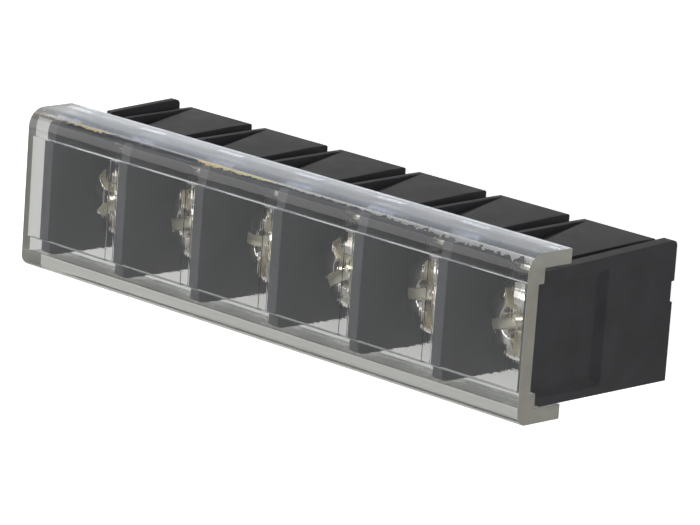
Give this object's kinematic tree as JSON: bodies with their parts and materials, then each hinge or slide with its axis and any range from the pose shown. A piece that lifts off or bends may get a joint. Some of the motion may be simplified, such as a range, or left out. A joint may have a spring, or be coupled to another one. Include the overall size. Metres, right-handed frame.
{
  "type": "barrier terminal strip",
  "caption": "Board-mounted barrier terminal strip: dark moulded base with screw clamps between barriers, solder pins beneath and a clear cover that lifts off.",
  "frame": {"origin": "on the board seat, the flat underside of the base, at the middle of the strip", "axes": "+X along the row of poles, +Y away from the wire entries, +Z from the board towards the cover"},
  "size_m": [0.0598, 0.014, 0.0222],
  "materials": {
    "housing": "fine satin moulded black thermoplastic",
    "cover": "clear moulded thermoplastic, slightly grey at the edges",
    "terminal": "tin-plated brass",
    "clamp_washer": "nickel-plated steel",
    "lock_washer": "nickel-plated steel",
    "screw": "bright nickel-plated steel"
  },
  "bodies": {
    "base": {"housing": "housing", "terminal_1": "terminal", "terminal_2": "terminal", "terminal_3": "terminal", "terminal_4": "terminal", "terminal_5": "terminal", "terminal_6": "terminal"},
    "cover": {"cover": "cover"},
    "clamp_1": {"clamp_washer_1": "clamp_washer", "lock_washer_1": "lock_washer"},
    "screw_1": {"screw_1": "screw"},
    "clamp_2": {"clamp_washer_2": "clamp_washer", "lock_washer_2": "lock_washer"},
    "screw_2": {"screw_2": "screw"},
    "clamp_3": {"clamp_washer_3": "clamp_washer", "lock_washer_3": "lock_washer"},
    "screw_3": {"screw_3": "screw"},
    "clamp_4": {"clamp_washer_4": "clamp_washer", "lock_washer_4": "lock_washer"},
    "screw_4": {"screw_4": "screw"},
    "clamp_5": {"clamp_washer_5": "clamp_washer", "lock_washer_5": "lock_washer"},
    "screw_5": {"screw_5": "screw"},
    "clamp_6": {"clamp_washer_6": "clamp_washer", "lock_washer_6": "lock_washer"},
    "screw_6": {"screw_6": "screw"}
  },
  "joints": [
    {"name": "cover_lift", "type": "slide", "parent": "base", "child": "cover", "axis": [0, 0, 1], "range_m": [0, 0.015]},
    {"name": "screw_1_lift", "type": "slide", "parent": "base", "child": "clamp_1", "axis": [0, 0, 1], "range_m": [0, 0.002]},
    {"name": "screw_1_turn", "type": "hinge", "parent": "clamp_1", "child": "screw_1", "pos_m": [-0.02295, -0.0002, 0.0107], "axis": [0, 0, 1], "range_deg": [0, 1200]},
    {"name": "screw_2_lift", "type": "slide", "parent": "base", "child": "clamp_2", "axis": [0, 0, 1], "range_m": [0, 0.002]},
    {"name": "screw_2_turn", "type": "hinge", "parent": "clamp_2", "child": "screw_2", "pos_m": [-0.01345, -0.0002, 0.0107], "axis": [0, 0, 1], "range_deg": [0, 1200]},
    {"name": "screw_3_lift", "type": "slide", "parent": "base", "child": "clamp_3", "axis": [0, 0, 1], "range_m": [0, 0.002]},
    {"name": "screw_3_turn", "type": "hinge", "parent": "clamp_3", "child": "screw_3", "pos_m": [-0.00395, -0.0002, 0.0107], "axis": [0, 0, 1], "range_deg": [0, 1200]},
    {"name": "screw_4_lift", "type": "slide", "parent": "base", "child": "clamp_4", "axis": [0, 0, 1], "range_m": [0, 0.002]},
    {"name": "screw_4_turn", "type": "hinge", "parent": "clamp_4", "child": "screw_4", "pos_m": [0.00555, -0.0002, 0.0107], "axis": [0, 0, 1], "range_deg": [0, 1200]},
    {"name": "screw_5_lift", "type": "slide", "parent": "base", "child": "clamp_5", "axis": [0, 0, 1], "range_m": [0, 0.002]},
    {"name": "screw_5_turn", "type": "hinge", "parent": "clamp_5", "child": "screw_5", "pos_m": [0.01505, -0.0002, 0.0107], "axis": [0, 0, 1], "range_deg": [0, 1200]},
    {"name": "screw_6_lift", "type": "slide", "parent": "base", "child": "clamp_6", "axis": [0, 0, 1], "range_m": [0, 0.002]},
    {"name": "screw_6_turn", "type": "hinge", "parent": "clamp_6", "child": "screw_6", "pos_m": [0.02455, -0.0002, 0.0107], "axis": [0, 0, 1], "range_deg": [0, 1200]}
  ],
  "couplings": [
    {"joint": "screw_1_turn", "follows": "screw_1_lift", "rad_per_m": 10472},
    {"joint": "screw_2_turn", "follows": "screw_2_lift", "rad_per_m": 10472},
    {"joint": "screw_3_turn", "follows": "screw_3_lift", "rad_per_m": 10472},
    {"joint": "screw_4_turn", "follows": "screw_4_lift", "rad_per_m": 10472},
    {"joint": "screw_5_turn", "follows": "screw_5_lift", "rad_per_m": 10472},
    {"joint": "screw_6_turn", "follows": "screw_6_lift", "rad_per_m": 10472}
  ]
}
